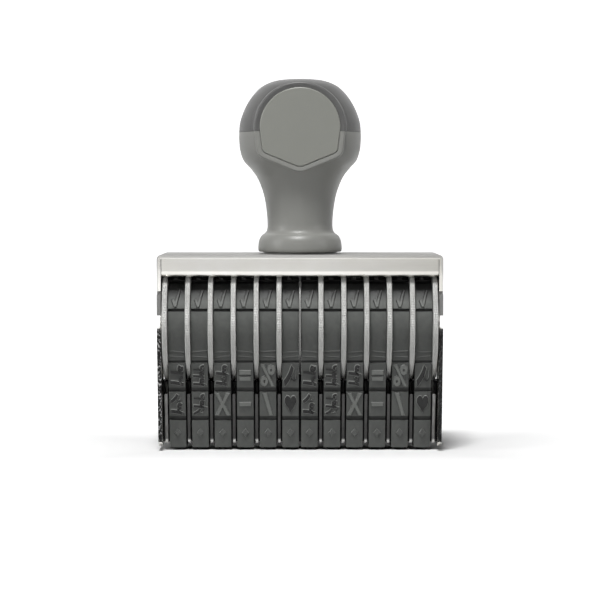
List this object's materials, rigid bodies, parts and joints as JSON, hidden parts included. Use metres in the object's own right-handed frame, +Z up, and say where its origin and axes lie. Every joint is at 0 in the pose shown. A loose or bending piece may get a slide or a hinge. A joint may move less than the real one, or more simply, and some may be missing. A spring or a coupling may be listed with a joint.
{
  "type": "band numbering stamp",
  "caption": "Hand-held band numbering stamp: palm handle on a bent sheet frame that holds a row of rubber type bands, each set by its own thumb disc.",
  "frame": {"origin": "centre of the bounding box in X and Y, on the printing plane at the foot of the bands", "axes": "+X along the axle, -Y towards the front, where the discs are turned and the badge faces, +Z up the handle"},
  "size_m": [0.064, 0.0278, 0.0842],
  "materials": {
    "frame_chrome": "bright plated sheet, slightly satin",
    "bright_steel": "zinc-plated steel",
    "disc_steel": "plated steel with a finely knurled rim",
    "drum_plastic": "black moulded plastic",
    "band_rubber": "dull black vulcanised rubber",
    "platen_metal": "extruded, satin",
    "handle_plastic": "mid-grey moulded plastic, semi-gloss",
    "cap_plastic": "darker grey moulded plastic, semi-gloss",
    "badge_plastic": "flat light grey plate"
  },
  "bodies": {
    "stamp": {"frame_shell": "frame_chrome", "axle": "bright_steel", "divider_washer": "bright_steel", "band_01": "band_rubber", "band_02": "band_rubber", "band_03": "band_rubber", "band_04": "band_rubber", "band_05": "band_rubber", "band_06": "band_rubber", "band_07": "band_rubber", "band_08": "band_rubber", "band_09": "band_rubber", "band_10": "band_rubber", "band_11": "band_rubber", "band_12": "band_rubber", "platen": "platen_metal", "separator_01": "bright_steel", "separator_02": "bright_steel", "separator_03": "bright_steel", "separator_04": "bright_steel", "separator_05": "bright_steel", "separator_06": "bright_steel", "separator_07": "bright_steel", "separator_08": "bright_steel", "separator_09": "bright_steel", "separator_10": "bright_steel", "separator_11": "bright_steel", "separator_12": "bright_steel", "handle_body": "handle_plastic", "handle_cap": "cap_plastic", "handle_badge": "badge_plastic", "handle_screw": "bright_steel"},
    "wheel_01": {"drum_01": "drum_plastic", "disc_01": "disc_steel"},
    "wheel_02": {"drum_02": "drum_plastic", "disc_02": "disc_steel"},
    "wheel_03": {"drum_03": "drum_plastic", "disc_03": "disc_steel"},
    "wheel_04": {"drum_04": "drum_plastic", "disc_04": "disc_steel"},
    "wheel_05": {"drum_05": "drum_plastic", "disc_05": "disc_steel"},
    "wheel_06": {"drum_06": "drum_plastic", "disc_06": "disc_steel"},
    "wheel_07": {"drum_07": "drum_plastic", "disc_07": "disc_steel"},
    "wheel_08": {"drum_08": "drum_plastic", "disc_08": "disc_steel"},
    "wheel_09": {"drum_09": "drum_plastic", "disc_09": "disc_steel"},
    "wheel_10": {"drum_10": "drum_plastic", "disc_10": "disc_steel"},
    "wheel_11": {"drum_11": "drum_plastic", "disc_11": "disc_steel"},
    "wheel_12": {"drum_12": "drum_plastic", "disc_12": "disc_steel"}
  },
  "joints": [
    {"name": "wheel_01_turn", "type": "hinge", "parent": "stamp", "child": "wheel_01", "pos_m": [-0.03024, 0, 0.0295], "axis": [1, 0, 0], "continuous": true},
    {"name": "wheel_02_turn", "type": "hinge", "parent": "stamp", "child": "wheel_02", "pos_m": [-0.02513, 0, 0.0295], "axis": [1, 0, 0], "continuous": true},
    {"name": "wheel_03_turn", "type": "hinge", "parent": "stamp", "child": "wheel_03", "pos_m": [-0.02002, 0, 0.0295], "axis": [1, 0, 0], "continuous": true},
    {"name": "wheel_04_turn", "type": "hinge", "parent": "stamp", "child": "wheel_04", "pos_m": [-0.0149, 0, 0.0295], "axis": [1, 0, 0], "continuous": true},
    {"name": "wheel_05_turn", "type": "hinge", "parent": "stamp", "child": "wheel_05", "pos_m": [-0.00979, 0, 0.0295], "axis": [1, 0, 0], "continuous": true},
    {"name": "wheel_06_turn", "type": "hinge", "parent": "stamp", "child": "wheel_06", "pos_m": [-0.00468, 0, 0.0295], "axis": [1, 0, 0], "continuous": true},
    {"name": "wheel_07_turn", "type": "hinge", "parent": "stamp", "child": "wheel_07", "pos_m": [0.00468, 0, 0.0295], "axis": [1, 0, 0], "continuous": true},
    {"name": "wheel_08_turn", "type": "hinge", "parent": "stamp", "child": "wheel_08", "pos_m": [0.00979, 0, 0.0295], "axis": [1, 0, 0], "continuous": true},
    {"name": "wheel_09_turn", "type": "hinge", "parent": "stamp", "child": "wheel_09", "pos_m": [0.0149, 0, 0.0295], "axis": [1, 0, 0], "continuous": true},
    {"name": "wheel_10_turn", "type": "hinge", "parent": "stamp", "child": "wheel_10", "pos_m": [0.02002, 0, 0.0295], "axis": [1, 0, 0], "continuous": true},
    {"name": "wheel_11_turn", "type": "hinge", "parent": "stamp", "child": "wheel_11", "pos_m": [0.02513, 0, 0.0295], "axis": [1, 0, 0], "continuous": true},
    {"name": "wheel_12_turn", "type": "hinge", "parent": "stamp", "child": "wheel_12", "pos_m": [0.03024, 0, 0.0295], "axis": [1, 0, 0], "continuous": true}
  ]
}
